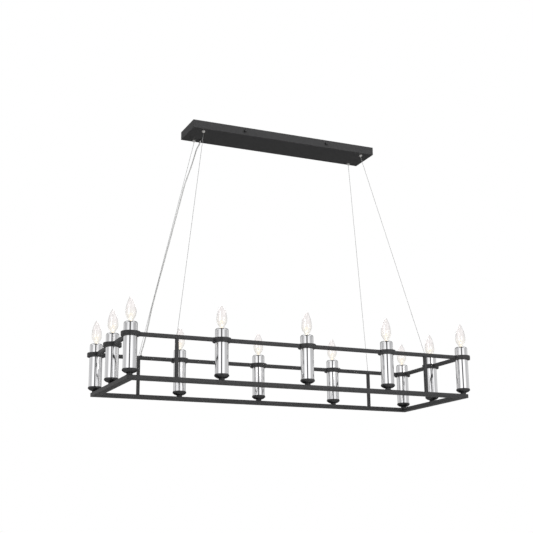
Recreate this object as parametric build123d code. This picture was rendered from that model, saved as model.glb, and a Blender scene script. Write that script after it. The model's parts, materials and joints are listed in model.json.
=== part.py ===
from build123d import *
import math
import os

os.makedirs("parts", exist_ok=True)

# Linear island pendant: a two-tier rectangular frame with a candle light at each
# corner, three more along each long side and one in the middle of each short side,
# hung by four steel cables from a long box canopy.
# Millimetres. The origin is the middle of the mounting face on the ceiling.
# +Z is up, X runs along the canopy, and the front is the -Y side.

# ---- The frame in plan ----
light_pitch = 310.0            # from light to light along a long side
lights_per_side = 5
side_spacing = 415.0           # from the front row to the back row

# ---- Canopy ----
canopy_length = 730.0
canopy_width = 135.0
canopy_height = 30.0
canopy_sheet = 1.2
canopy_corner_r = 1.6

# ---- Mounting bracket inside the canopy ----
bracket_sheet = 2.0
bracket_bar_width = 38.0
bracket_strap_width = 22.0
bracket_ear_drop = 20.0
bracket_wire_hole_r = 10.0
bracket_gap = 0.6              # from an ear to the canopy's wall
box_screw_spacing = 88.9       # between the screws of a ceiling outlet box
box_slot_length = 16.0
box_slot_r = 2.3
ground_screw_x = 26.0
ground_screw_r = 2.4
ground_screw_head_r = 4.6
ground_screw_head = 2.6
driver_slot = 1.3

# ---- Thumb screws on the canopy's long sides ----
thumb_screw_x = 165.0
thumb_screw_below_ceiling = 13.0
thumb_knob_r = 5.2
thumb_knob_length = 6.5
thumb_shank_r = 2.0
thumb_shank_length = 12.0
thumb_wall_clearance = 0.4
thumb_thread_clearance = 0.05
thumb_recess_r = 1.2

# ---- Cable grips ----
grip_from_end = 45.0           # from the canopy's end to the grip's axis
grip_from_side = 17.5
grip_body_r = 6.0
grip_body_length = 5.5
grip_edge = 0.8
grip_barrel_r = 5.0
grip_barrel_length = 16.0
grip_hole_clearance = 0.15
grip_nut_flats = 14.0
grip_nut_height = 5.0
sleeve_r = 3.2
sleeve_clearance = 0.1
sleeve_shoulder_r = 4.2
sleeve_shoulder_height = 1.8
sleeve_tip_r = 2.1
sleeve_out = 3.2               # how far the sleeve stands out of the grip
sleeve_straight = 1.0          # of that, before it narrows
sleeve_bore_r = 1.2
sleeve_flare = 0.5             # the bore opens by this much over the flare's depth
sleeve_flare_depth = 1.0
release_travel = 2.0
chamber_floor = 1.6            # wall of the grip under the sleeve's shoulder
stack_clearance = 0.1

# ---- Hanging cables ----
cable_r = 0.8
cable_drop = 786.0             # from the canopy's underside to the top of the upper rails
cable_tail = 6.0               # cable that stands out of the grip inside the canopy
cable_bend_r = 5.0
cable_straight = 1.2           # below the grip, before the cable turns outwards
cable_hole_r = 1.8
stop_r = 2.3
stop_length = 5.0
stop_clearance = 0.05

# ---- Upper tier ----
upper_rail = 12.7              # square tube
upper_wall = 1.2
ring_od = 62.0
ring_height = 14.0
ring_clearance = 0.25          # around the candle tube
ring_edge_r = 1.0

# ---- Posts between the tiers ----
post_size = 10.6
post_wall = 1.2
post_length = 126.0

# ---- Lower tier ----
lower_rail_width = 25.0
lower_rail_height = 14.0
lower_wall = 1.5

# ---- Foot of each light: neck, dish and threaded stem ----
neck_r = 10.0
neck_height = 6.0
dish_r = 25.0
dish_height = 14.0
dish_top_r = 23.2
dish_bottom_r = 11.0
dish_rim_height = 8.6          # where the dish is widest, above its underside
dish_belly_sag = 1.6
dish_shoulder_sag = 0.4
dish_seat = 2.0                # depth of the recess that the tube stands in
seat_clearance = 0.2
stem_r = 4.8
stem_bore_r = 3.2
stem_clearance = 0.1
stem_flange_flats = 16.0
stem_flange_height = 4.0
stem_below_rail_top = 6.0

# ---- Candle tube, socket and bulb ----
tube_od = 44.4
tube_wall = 1.2
tube_length = 152.5
socket_r = 9.8
socket_below_rim = 10.5        # top of the socket under the tube's rim
socket_height = 28.0
socket_spigot_r = 6.6
socket_clearance = 0.3
cap_r = 5.95
cap_length = 15.5
cap_tip_r = 2.0
cap_tip_length = 4.5
cap_neck_depth = 4.0
cap_clearance = 0.1
glass_above_socket = 3.5       # from the socket's top to the foot of the glass
glass_r = 17.6
glass_neck_r = 5.2
glass_wide_height = 34.0       # where the glass is widest, above its foot
glass_belly_r = 28.4           # of the curve under the widest place
glass_tip_r = 2.9
glass_length = 91.2
glass_wall = 0.8
mount_r = 3.8                  # glass mount that holds the filament's leads
mount_press_r = 1.8
mount_height = 16.0
filament_height = 34.0
filament_span = 9.0
filament_wire_r = 0.3

# ---- Power cord and wiring ----
cord_r = 2.25
bushing_clearance = 0.05
bushing_flange_r = 4.9
bushing_flange_height = 2.4
bushing_barrel_r = 3.5
bushing_barrel_length = 5.0
cord_exit_x = -298.0
cord_exit_y = 44.0
cord_inlet_offset = 8.6        # along the rail, from the post's middle
lead_r = 1.0
lead_ring_r = 1.2               # the leads' places in the cord's end
lead_spacing = 9.0
lead_length = 84.0
lead_rise = 7.0
lead_step = 2.5                # the outer leads run over the middle one
lead_bend_r = 4.0
lead_cap_r = 4.2
lead_cap_length = 18.0
wire_r = 2.0
riser_r = 1.6

# ---- Levels and places that follow from the sizes above ----
half_length = light_pitch * (lights_per_side - 1) / 2
half_width = side_spacing / 2
post_x = half_length - light_pitch / 2      # half-way between the first two lights
canopy_bottom = -canopy_height
canopy_floor = canopy_bottom + canopy_sheet
grip_x = canopy_length / 2 - grip_from_end
grip_y = canopy_width / 2 - grip_from_side
grip_bottom = canopy_bottom - grip_body_length
sleeve_mouth = grip_bottom - sleeve_out
upper_top = canopy_bottom - cable_drop
upper_bottom = upper_top - upper_rail
ring_bottom = upper_top - ring_height
lower_top = upper_bottom - post_length
lower_bottom = lower_top - lower_rail_height
dish_bottom = lower_top + neck_height
dish_top = dish_bottom + dish_height
tube_bottom = dish_top - dish_seat
tube_top = tube_bottom + tube_length
socket_top = tube_top - socket_below_rim
socket_bottom = socket_top - socket_height
glass_foot = socket_top + glass_above_socket
cap_bottom = glass_foot - cap_length - cap_tip_length
cord_inlet_x = -post_x + cord_inlet_offset

front_row = [
    ("front_" + str(number + 1), -half_length + number * light_pitch, -half_width)
    for number in range(lights_per_side)
]
back_row = [
    ("back_" + str(number + 1), -half_length + number * light_pitch, half_width)
    for number in range(lights_per_side)
]
end_lights = [("left", -half_length, 0.0), ("right", half_length, 0.0)]
lights = front_row + back_row + end_lights

corners = [
    ("front_left", -1, -1),
    ("front_right", 1, -1),
    ("back_left", -1, 1),
    ("back_right", 1, 1),
]


def save(name, shapes):
    """Write one piece, or a group of like pieces, to its STEP file."""
    solids = shapes if isinstance(shapes, list) else [shapes]
    shape = solids[0] if len(solids) == 1 else Compound(children=solids)
    export_step(shape, "parts/" + name + ".step")


def rod(radius, low, high, x=0.0, y=0.0):
    """A round bar that stands on the level low and ends at the level high."""
    return Pos(x, y, (low + high) / 2) * Cylinder(radius, high - low)


def block(x_size, y_size, low, high, x=0.0, y=0.0):
    """A square-edged bar between two levels."""
    return Pos(x, y, (low + high) / 2) * Box(x_size, y_size, high - low)


def turned(*edges):
    """A solid of revolution about Z from its half profile in the XZ plane."""
    outline = Wire(list(edges))
    return revolve(make_face(outline), Axis.Z)


def bowed(start, end, sag):
    """A rising arc of a half profile that stands off its chord, away from the axis."""
    run = end[0] - start[0]
    rise = end[1] - start[1]
    chord = math.hypot(run, rise)
    middle_r = (start[0] + end[0]) / 2 + sag * rise / chord
    middle_z = (start[1] + end[1]) / 2 - sag * run / chord
    return ThreePointArc((start[0], 0, start[1]), (middle_r, 0, middle_z), (end[0], 0, end[1]))


def lathe(points):
    """A solid of revolution about Z from the corners of its half profile."""
    corners_3d = [(radius, 0, level) for radius, level in points]
    outline = Polyline(*corners_3d, close=True)
    return revolve(make_face(outline), Axis.Z)


# ---------------------------------------------------------------- ceiling end

def mounting_bracket():
    """Stamped plate on the outlet box, with four ears for the thumb screws."""
    inner_width = canopy_width - 2 * (canopy_sheet + bracket_gap)
    strap_end = thumb_screw_x + bracket_strap_width / 2
    plate = block(2 * strap_end, bracket_bar_width, -bracket_sheet, 0)
    for side in (-1, 1):
        plate += block(bracket_strap_width, inner_width, -bracket_sheet, 0, side * thumb_screw_x)
        for face in (-1, 1):
            ear_y = face * (inner_width - bracket_sheet) / 2
            ear = block(bracket_strap_width, bracket_sheet, -bracket_ear_drop, 0,
                        side * thumb_screw_x, ear_y)
            plate += ear
    hole_r = thumb_shank_r + thumb_thread_clearance
    for side in (-1, 1):
        cross_hole = Cylinder(hole_r, canopy_width, rotation=(90, 0, 0))
        plate -= Pos(side * thumb_screw_x, 0, -thumb_screw_below_ceiling) * cross_hole
        slot = extrude(SlotOverall(box_slot_length, 2 * box_slot_r), bracket_sheet * 2, both=True)
        plate -= Pos(side * box_screw_spacing / 2, 0, 0) * slot
    plate -= Cylinder(bracket_wire_hole_r, 4 * bracket_sheet)
    ground_hole_r = ground_screw_r + thumb_thread_clearance
    plate -= Pos(ground_screw_x, 0, 0) * Cylinder(ground_hole_r, 4 * bracket_sheet)
    return plate


def ground_screw():
    """Earth screw in the bracket, its head below the plate."""
    head_top = -bracket_sheet
    head_low = head_top - ground_screw_head
    head = rod(ground_screw_head_r, head_low, head_top, ground_screw_x)
    shank = rod(ground_screw_r, head_low, head_top + bracket_sheet - stack_clearance, ground_screw_x)
    slot_top = head_low + ground_screw_head / 2
    slot = block(2 * ground_screw_head_r, driver_slot, head_low, slot_top, ground_screw_x)
    return head + shank - slot


def canopy():
    """Folded sheet box, open to the ceiling."""
    shell = block(canopy_length, canopy_width, canopy_bottom, 0)
    shell = fillet(shell.edges().filter_by(Axis.Z) + shell.faces().sort_by(Axis.Z)[0].edges(),
                   canopy_corner_r)
    shell -= block(canopy_length - 2 * canopy_sheet, canopy_width - 2 * canopy_sheet, canopy_floor, 1)
    for _, x_side, y_side in corners:
        grip_hole = Cylinder(grip_barrel_r + grip_hole_clearance, 4 * canopy_sheet)
        shell -= Pos(x_side * grip_x, y_side * grip_y, canopy_bottom) * grip_hole
    for side in (-1, 1):
        hole_r = thumb_shank_r + thumb_wall_clearance
        cross_hole = Cylinder(hole_r, 2 * canopy_width, rotation=(90, 0, 0))
        shell -= Pos(side * thumb_screw_x, 0, -thumb_screw_below_ceiling) * cross_hole
    cord_hole = Cylinder(bushing_barrel_r + bushing_clearance, 4 * canopy_sheet)
    shell -= Pos(cord_exit_x, cord_exit_y, canopy_bottom) * cord_hole
    return shell


def thumb_screw(x_side, y_side):
    """Round-headed screw through the canopy's wall into an ear of the bracket."""
    knob = Cylinder(thumb_knob_r, thumb_knob_length)
    knob = fillet(knob.faces().sort_by(Axis.Z)[-1].edges(), thumb_recess_r)
    knob = Pos(0, 0, thumb_knob_length / 2) * knob
    shank = Pos(0, 0, -thumb_shank_length / 2) * Cylinder(thumb_shank_r, thumb_shank_length)
    screw = knob + shank
    # the screw's own axis points out of the canopy's face
    turn = Rot(90, 0, 0) if y_side < 0 else Rot(-90, 0, 0)
    place = Pos(x_side * thumb_screw_x, y_side * canopy_width / 2, -thumb_screw_below_ceiling)
    return place * turn * screw


def grip_body():
    """Turned housing of a cable grip, with the chamber that its sleeve moves in."""
    chamber_low = grip_bottom + chamber_floor
    chamber_high = chamber_low + sleeve_shoulder_height + release_travel + 2 * stack_clearance
    barrel_top = canopy_bottom + grip_barrel_length
    return lathe([
        (sleeve_r + sleeve_clearance, grip_bottom),
        (grip_body_r - grip_edge, grip_bottom),
        (grip_body_r, grip_bottom + grip_edge),
        (grip_body_r, canopy_bottom),
        (grip_barrel_r, canopy_bottom),
        (grip_barrel_r, barrel_top),
        (sleeve_bore_r, barrel_top),
        (sleeve_bore_r, chamber_high),
        (sleeve_shoulder_r + sleeve_clearance, chamber_high),
        (sleeve_shoulder_r + sleeve_clearance, chamber_low),
        (sleeve_r + sleeve_clearance, chamber_low),
    ])


def release_sleeve():
    """Sprung sleeve that is pressed up to let the cable slide."""
    shoulder_low = grip_bottom + chamber_floor + stack_clearance
    shoulder_high = shoulder_low + sleeve_shoulder_height
    return lathe([
        (sleeve_bore_r + sleeve_flare, sleeve_mouth),
        (sleeve_tip_r, sleeve_mouth),
        (sleeve_r, grip_bottom - sleeve_straight),
        (sleeve_r, shoulder_low),
        (sleeve_shoulder_r, shoulder_low),
        (sleeve_shoulder_r, shoulder_high),
        (sleeve_bore_r, shoulder_high),
        (sleeve_bore_r, sleeve_mouth + sleeve_flare_depth),
    ])


def grip_nut():
    """Hexagon nut on the grip's barrel, on the canopy's floor."""
    hexagon = RegularPolygon(grip_nut_flats / 2, 6, major_radius=False)
    nut = extrude(hexagon, grip_nut_height)
    nut -= Cylinder(grip_barrel_r + stack_clearance, 3 * grip_nut_height)
    return Pos(0, 0, canopy_floor) * nut


# ---------------------------------------------------------------- cables and cord

def cable_path(x_side, y_side):
    """Straight through the grip, taut to the rail, and down to its stop."""
    grip = (x_side * grip_x, y_side * grip_y)
    hole = (x_side * post_x, y_side * half_width)
    tail = canopy_bottom + grip_barrel_length + cable_tail
    return [
        (grip[0], grip[1], tail),
        (grip[0], grip[1], sleeve_mouth - cable_straight),
        (hole[0], hole[1], upper_top - upper_wall / 2),
        (hole[0], hole[1], upper_top - upper_wall - stop_length),
    ]


def tube_along(points, radii, radius, name):
    """A round cord along straight runs joined by tangent arcs, with its length printed."""
    path = FilletPolyline(*points, radius=radii)
    start = Plane(origin=path @ 0, z_dir=path % 0)
    solid = sweep(start * Circle(radius), path=path)
    share = solid.volume / (math.pi * radius**2 * path.length)
    print(name, "length", round(path.length, 1), "volume by section times length", round(share, 4))
    return solid


def hanging_cable(x_side, y_side):
    """Steel cable from its tail in the canopy to its stop in the upper rail."""
    return tube_along(cable_path(x_side, y_side), [cable_bend_r] * 2, cable_r, "cable")


def cable_stop():
    """Ferrule crimped on the cable's lower end, under the rail's top wall."""
    high = upper_top - upper_wall
    low = high - stop_length
    return rod(stop_r, low, high) - rod(cable_r + stop_clearance, low - 1, high + 1)


cord_route = [
    (cord_exit_x, cord_exit_y, -22.0),
    (cord_exit_x, cord_exit_y, -41.0),
    (-308.5, 51.0, -60.0),
    (-313.0, 57.5, -83.0),
    (-318.5, 63.5, -107.0),
    (-327.0, 71.0, -141.0),
    (-341.5, 82.0, -189.0),
    (-430.0, 174.0, -645.0),
    (-439.0, 187.5, -712.0),
    (-446.0, 197.5, -760.0),
    (-452.0, 203.5, -788.0),
    (cord_inlet_x, half_width, -805.0),
    (cord_inlet_x, half_width, -823.0),
]


def route_radii(points):
    """The largest tangent arc at each corner: 0.45 of its shorter run."""
    radii = []
    for before, corner, after in zip(points, points[1:], points[2:]):
        run_in = Vector(*corner) - Vector(*before)
        run_out = Vector(*after) - Vector(*corner)
        half_turn = math.radians(run_in.get_angle(run_out)) / 2
        radii.append(0.45 * min(run_in.length, run_out.length) / math.tan(half_turn))
    return radii


def power_cord():
    """Mains cord from the canopy to the frame, beside the back left cable."""
    radii = route_radii(cord_route)
    print("cord radii", [round(radius, 1) for radius in radii])
    return tube_along(cord_route, radii, cord_r, "cord")


def cord_bushing(x, y, face, upward):
    """Flanged bushing round the cord: the flange lies on the outer face."""
    flange_low = face if upward else face - bushing_flange_height
    flange = rod(bushing_flange_r, flange_low, flange_low + bushing_flange_height, x, y)
    barrel_low = face - bushing_barrel_length if upward else face
    barrel = rod(bushing_barrel_r, barrel_low, barrel_low + bushing_barrel_length, x, y)
    bore = Pos(x, y, face) * Cylinder(cord_r + bushing_clearance, 3 * bushing_barrel_length)
    return flange + barrel - bore


def supply_leads():
    """Three insulated leads out of the cord's end, each in a wire connector."""
    pieces = []
    start_z = cord_route[0][2]
    for place in (-1, 0, 1):
        around = math.radians(120 * place)
        x_start = cord_exit_x + lead_ring_r * math.cos(around)
        y_start = cord_exit_y + lead_ring_r * math.sin(around)
        run_z = start_z + lead_rise + abs(place) * lead_step
        bend = (x_start, y_start, run_z)
        end = (x_start + lead_length, cord_exit_y + place * lead_spacing, run_z)
        lead = tube_along([(x_start, y_start, start_z), bend, end], [lead_bend_r], lead_r, "lead")
        mouth = Plane(origin=end, z_dir=Vector(*end) - Vector(*bend))
        pieces += [lead, mouth * lead_cap()]
    return pieces


def lead_cap():
    """Twist-on wire connector, its mouth at the origin and its axis along +Z."""
    return lathe([
        (0, 0),
        (lead_cap_r, 0),
        (lead_cap_r, lead_cap_length * 0.4),
        (lead_cap_r * 0.6, lead_cap_length),
        (0, lead_cap_length),
    ])


# ---------------------------------------------------------------- upper tier

def tube_profile(size_y, size_z, wall, length):
    """A square tube along X, centred on the origin."""
    return Box(length, size_y, size_z) - Box(length * 2, size_y - 2 * wall, size_z - 2 * wall)


def upper_rails(row, along_x):
    """Square tubes from ring to ring, each end coped to the ring it is welded to."""
    middle_z = upper_top - upper_rail / 2
    segments = []
    for (_, x_0, y_0), (_, x_1, y_1) in zip(row, row[1:]):
        span = math.dist((x_0, y_0), (x_1, y_1))
        bar = tube_profile(upper_rail, upper_rail, upper_wall, span)
        if not along_x:
            bar = Rot(0, 0, 90) * bar
        bar = Pos((x_0 + x_1) / 2, (y_0 + y_1) / 2, middle_z) * bar
        for x, y in ((x_0, y_0), (x_1, y_1)):
            bar -= Pos(x, y, middle_z) * Cylinder(ring_od / 2, 2 * upper_rail)
        segments.append(bar)
    return segments


def drill_for_suspension(segments, y_side):
    """Cable holes over the posts, and the cord's way in at the back left post."""
    drill = 3 * upper_wall
    drilled = []
    for segment in segments:
        middle = segment.center()
        for x_side in (-1, 1):
            if abs(middle.X - x_side * post_x) < light_pitch / 4:
                segment -= Pos(x_side * post_x, y_side * half_width, upper_top) * Cylinder(cable_hole_r, drill)
                if x_side < 0 and y_side > 0:
                    inlet = Cylinder(bushing_barrel_r + bushing_clearance, drill)
                    segment -= Pos(cord_inlet_x, half_width, upper_top) * inlet
                    wire_hole = Cylinder(wire_r + stem_clearance, drill)
                    segment -= Pos(-post_x, half_width, upper_bottom) * wire_hole
        drilled.append(segment)
    return drilled


def ring():
    """Collar round the candle tube at the upper tier."""
    band = Pos(0, 0, ring_bottom + ring_height / 2) * Cylinder(ring_od / 2, ring_height)
    band = chamfer(band.edges().filter_by(GeomType.CIRCLE), ring_edge_r)
    return band - rod(tube_od / 2 + ring_clearance, ring_bottom - 1, upper_top + 1)


# ---------------------------------------------------------------- posts and lower tier

def post():
    """Square tube between the tiers."""
    inner_size = post_size - 2 * post_wall
    outer = block(post_size, post_size, lower_top, upper_bottom)
    return outer - block(inner_size, inner_size, lower_top - 1, upper_bottom + 1)


def mitred_rail(half_run, offset, turn):
    """Rectangular tube of the lower tier, mitred at 45 degrees at both ends."""

    def prism(width, low, high):
        outer = half_run + width / 2
        inner = half_run - width / 2
        near = -offset - width / 2
        far = -offset + width / 2
        outline = Polyline((-outer, near), (outer, near), (inner, far), (-inner, far), close=True)
        return Pos(0, 0, low) * extrude(make_face(outline), high - low)

    shell = prism(lower_rail_width, lower_bottom, lower_top)
    hollow = prism(lower_rail_width - 2 * lower_wall, lower_bottom + lower_wall, lower_top - lower_wall)
    return Rot(0, 0, turn) * (shell - hollow)


def drill_for_stems(rail):
    """Holes for the stems, and the wires' way down out of the back left post."""
    low, high = rail.bounding_box().min, rail.bounding_box().max
    for _, x, y in lights:
        if low.X < x < high.X and low.Y < y < high.Y:
            rail -= Pos(x, y, lower_top) * Cylinder(stem_r + stem_clearance, 3 * lower_wall)
    if low.X < -post_x < high.X and low.Y < half_width < high.Y:
        rail -= Pos(-post_x, half_width, lower_top) * Cylinder(wire_r + stem_clearance, 3 * lower_wall)
    return rail


# ---------------------------------------------------------------- foot of each light

def neck():
    """Round spacer between the lower rail and the dish."""
    bore = rod(stem_r + stem_clearance, lower_top - 1, dish_bottom + 1)
    return rod(neck_r, lower_top, dish_bottom) - bore


def dish():
    """Lens-shaped dish that the candle tube stands in."""
    rim_z = dish_bottom + dish_rim_height
    bore = stem_r + stem_clearance
    seat_r = tube_od / 2 + seat_clearance
    belly = bowed((dish_bottom_r, dish_bottom), (dish_r, rim_z), dish_belly_sag)
    shoulder = bowed((dish_r, rim_z), (dish_top_r, dish_top), dish_shoulder_sag)
    inside = Polyline(
        (dish_top_r, 0, dish_top),
        (seat_r, 0, dish_top),
        (seat_r, 0, dish_top - dish_seat),
        (bore, 0, dish_top - dish_seat),
        (bore, 0, dish_bottom),
        (dish_bottom_r, 0, dish_bottom),
    )
    return turned(belly, shoulder, *inside.edges())


def stem():
    """Threaded pipe that clamps the dish and neck to the rail and carries the socket."""
    low = lower_top - stem_below_rail_top
    flange_low = dish_top - dish_seat
    pipe = rod(stem_r, low, socket_bottom)
    flange = extrude(RegularPolygon(stem_flange_flats / 2, 6, major_radius=False), stem_flange_height)
    return pipe + Pos(0, 0, flange_low) * flange - rod(stem_bore_r, low - 1, socket_bottom + 1)


def candle_tube():
    """Plated sleeve that stands in the dish and passes through the ring."""
    inside = rod(tube_od / 2 - tube_wall, tube_bottom - 1, tube_top + 1)
    return rod(tube_od / 2, tube_bottom, tube_top) - inside


def socket():
    """Lamp socket on top of the stem."""
    bore_floor = cap_bottom - socket_clearance
    bore_r = cap_r + socket_clearance
    spigot_top = socket_bottom + (bore_floor - socket_bottom) / 2
    return lathe([
        (stem_bore_r, socket_bottom),
        (socket_spigot_r, socket_bottom),
        (socket_spigot_r, spigot_top),
        (socket_r, spigot_top),
        (socket_r, socket_top),
        (bore_r, socket_top),
        (bore_r, bore_floor),
        (stem_bore_r, bore_floor),
    ])


def glass_flank(skin):
    """The glass from its foot to its tip, drawn in by a skin: four tangent arcs."""
    neck = glass_neck_r - skin
    wide = glass_r - skin
    belly = glass_belly_r - skin
    tip = glass_tip_r - skin
    wide_z = glass_foot + glass_wide_height
    # the hollow curve into the neck takes what is left of the drop to the foot
    drop = wide - neck
    both_curves = (drop**2 + glass_wide_height**2) / (2 * drop)
    share = belly / both_curves
    turn_point = (wide - drop * share, 0, wide_z - glass_wide_height * share)
    # the long upper curve stands upright at the widest place and runs into the tip's ball
    ball_z = glass_foot + glass_length - glass_tip_r
    rise = ball_z - wide_z
    long_r = (wide**2 + rise**2 - tip**2) / (2 * (wide - tip))
    reach = tip / (long_r - tip)
    ball_start = ((long_r - wide) * reach, 0, ball_z + rise * reach)
    ball_middle = (tip * math.sin(math.pi / 8), 0, ball_z + tip * math.cos(math.pi / 8))
    return [
        TangentArc((neck, 0, glass_foot), turn_point, tangent=(0, 0, 1)),
        TangentArc((wide, 0, wide_z), turn_point, tangent=(0, 0, -1)),
        TangentArc((wide, 0, wide_z), ball_start, tangent=(0, 0, 1)),
        ThreePointArc(ball_start, ball_middle, (0, 0, ball_z + tip)),
    ]


def bulb():
    """Torpedo bulb: hollow glass, screw cap with its contact, and the filament's mount."""
    neck_low = glass_foot - cap_neck_depth
    inner_neck_r = glass_neck_r - glass_wall
    tip_z = glass_foot + glass_length
    tip_wall = Line((0, 0, tip_z), (0, 0, tip_z - glass_wall))
    neck = Polyline(
        (glass_neck_r, 0, glass_foot),
        (glass_neck_r, 0, neck_low),
        (inner_neck_r, 0, neck_low),
        (inner_neck_r, 0, glass_foot),
    )
    glass = turned(*glass_flank(0), tip_wall, *glass_flank(glass_wall), *neck.edges())
    cap_low = glass_foot - cap_length
    cap = lathe([
        (0, cap_bottom),
        (cap_tip_r, cap_bottom),
        (cap_r - 0.6, cap_low),
        (cap_r, cap_low + 0.6),
        (cap_r, glass_foot),
        (glass_neck_r + cap_clearance, glass_foot),
        (glass_neck_r + cap_clearance, neck_low),
        (0, neck_low),
    ])
    return [glass, cap, filament_mount(neck_low)]


def filament_mount(low):
    """Glass mount on the cap, with two leads that hold the filament between them."""
    press_z = low + mount_height
    mount = lathe([
        (0, low),
        (mount_r, low),
        (mount_press_r, press_z - mount_press_r),
        (mount_press_r, press_z),
        (0, press_z),
    ])
    top = glass_foot + filament_height
    for side in (-1, 1):
        foot = (side * mount_press_r / 2, 0, press_z - filament_wire_r)
        head = (side * filament_span / 2, 0, top)
        mount += straight_wire(foot, head)
    mount += straight_wire((-filament_span / 2, 0, top), (filament_span / 2, 0, top))
    return mount


def straight_wire(start, end):
    """A round wire between two points."""
    path = Line(start, end)
    return sweep(Plane(origin=path @ 0, z_dir=path % 0) * Circle(filament_wire_r), path=path)


def frame_wiring():
    """Wires down the back left post, round the lower rails and up each stem."""
    level = lower_bottom + lower_wall + wire_r
    trunk = None
    for y in (-half_width, half_width):
        bar = Pos(0, y, level) * Cylinder(wire_r, 2 * half_length, rotation=(0, 90, 0))
        trunk = bar if trunk is None else trunk + bar
    for x in (-half_length, half_length):
        trunk += Pos(x, 0, level) * Cylinder(wire_r, 2 * half_width, rotation=(90, 0, 0))
    for _, x, y in lights:
        trunk += rod(riser_r, level, socket_bottom, x, y)
    inside_rail = upper_bottom + upper_wall + wire_r
    trunk += rod(wire_r, level, inside_rail, -post_x, half_width)
    link = Cylinder(wire_r, cord_inlet_offset, rotation=(0, 90, 0))
    trunk += Pos((cord_inlet_x - post_x) / 2, half_width, inside_rail) * link
    return trunk


# ---------------------------------------------------------------- writing the pieces

def at(shape, x, y):
    """A copy of a piece that was made on the Z axis."""
    return Pos(x, y, 0) * shape


grip_places = [(x_side * grip_x, y_side * grip_y) for _, x_side, y_side in corners]
post_places = [(x_side * post_x, y_side * half_width) for _, x_side, y_side in corners]


save("mounting_bracket", mounting_bracket())
save("ground_screw", ground_screw())
save("canopy", canopy())
for name, x_side, y_side in corners:
    save("thumb_screw_" + name, thumb_screw(x_side, y_side))
    save("release_sleeve_" + name, at(release_sleeve(), x_side * grip_x, y_side * grip_y))
    save("hanging_cable_" + name, hanging_cable(x_side, y_side))
save("grip_bodies", [at(grip_body(), x, y) for x, y in grip_places])
save("grip_nuts", [at(grip_nut(), x, y) for x, y in grip_places])
save("cable_stops", [at(cable_stop(), x, y) for x, y in post_places])

save("power_cord", power_cord())
save("cord_bushings", [
    cord_bushing(cord_exit_x, cord_exit_y, canopy_bottom, upward=False),
    cord_bushing(cord_inlet_x, half_width, upper_top, upward=True),
])
save("supply_leads", supply_leads())

left_end = [front_row[0], end_lights[0], back_row[0]]
right_end = [front_row[-1], end_lights[1], back_row[-1]]
save("upper_rail_front", drill_for_suspension(upper_rails(front_row, True), -1))
save("upper_rail_back", drill_for_suspension(upper_rails(back_row, True), 1))
save("upper_rail_left", upper_rails(left_end, False))
save("upper_rail_right", upper_rails(right_end, False))
save("posts", [at(post(), x, y) for x, y in post_places])
save("lower_rail_front", drill_for_stems(mitred_rail(half_length, half_width, 0)))
save("lower_rail_back", drill_for_stems(mitred_rail(half_length, half_width, 180)))
save("lower_rail_right", drill_for_stems(mitred_rail(half_width, half_length, 90)))
save("lower_rail_left", drill_for_stems(mitred_rail(half_width, half_length, 270)))
save("frame_wiring", frame_wiring())

save("rings", [at(ring(), x, y) for _, x, y in lights])
save("necks", [at(neck(), x, y) for _, x, y in lights])
save("dishes", [at(dish(), x, y) for _, x, y in lights])
save("stems", [at(stem(), x, y) for _, x, y in lights])
save("sockets", [at(socket(), x, y) for _, x, y in lights])
for name, x, y in lights:
    save("candle_tube_" + name, at(candle_tube(), x, y))
    save("bulb_" + name, [at(piece, x, y) for piece in bulb()])
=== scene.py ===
import json
import math

import bmesh
import bpy
from mathutils import Matrix, Vector

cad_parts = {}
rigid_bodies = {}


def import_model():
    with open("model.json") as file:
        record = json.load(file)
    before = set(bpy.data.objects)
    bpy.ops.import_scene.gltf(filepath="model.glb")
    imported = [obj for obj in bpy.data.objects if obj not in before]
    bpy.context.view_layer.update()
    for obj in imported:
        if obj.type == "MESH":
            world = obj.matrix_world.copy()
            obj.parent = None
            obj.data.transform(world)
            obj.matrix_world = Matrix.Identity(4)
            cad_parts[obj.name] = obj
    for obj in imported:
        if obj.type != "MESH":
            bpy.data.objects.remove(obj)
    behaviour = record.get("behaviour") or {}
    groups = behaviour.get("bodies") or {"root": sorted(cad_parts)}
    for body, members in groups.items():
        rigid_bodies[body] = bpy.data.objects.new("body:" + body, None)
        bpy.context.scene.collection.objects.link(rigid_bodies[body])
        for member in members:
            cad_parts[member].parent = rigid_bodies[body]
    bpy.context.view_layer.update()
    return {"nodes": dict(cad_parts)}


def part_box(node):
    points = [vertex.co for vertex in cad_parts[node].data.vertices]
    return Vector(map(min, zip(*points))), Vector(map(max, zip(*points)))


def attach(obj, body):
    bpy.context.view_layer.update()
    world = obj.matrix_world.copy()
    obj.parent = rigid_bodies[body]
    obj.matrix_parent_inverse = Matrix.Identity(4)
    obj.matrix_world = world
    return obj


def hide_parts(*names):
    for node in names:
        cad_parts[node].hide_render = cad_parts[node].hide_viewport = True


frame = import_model()

# Looks of a linear island pendant. Metres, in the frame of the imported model: the ceiling
# is at z = 0, X runs along the canopy and the front is the -Y side.

MM = 0.001
FIXTURE = "fixture"
CORNERS = ("front_left", "front_right", "back_left", "back_right")
LIGHTS = sorted(name[len("candle_tube_"):] for name in frame["nodes"] if name.startswith("candle_tube_"))

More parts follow.
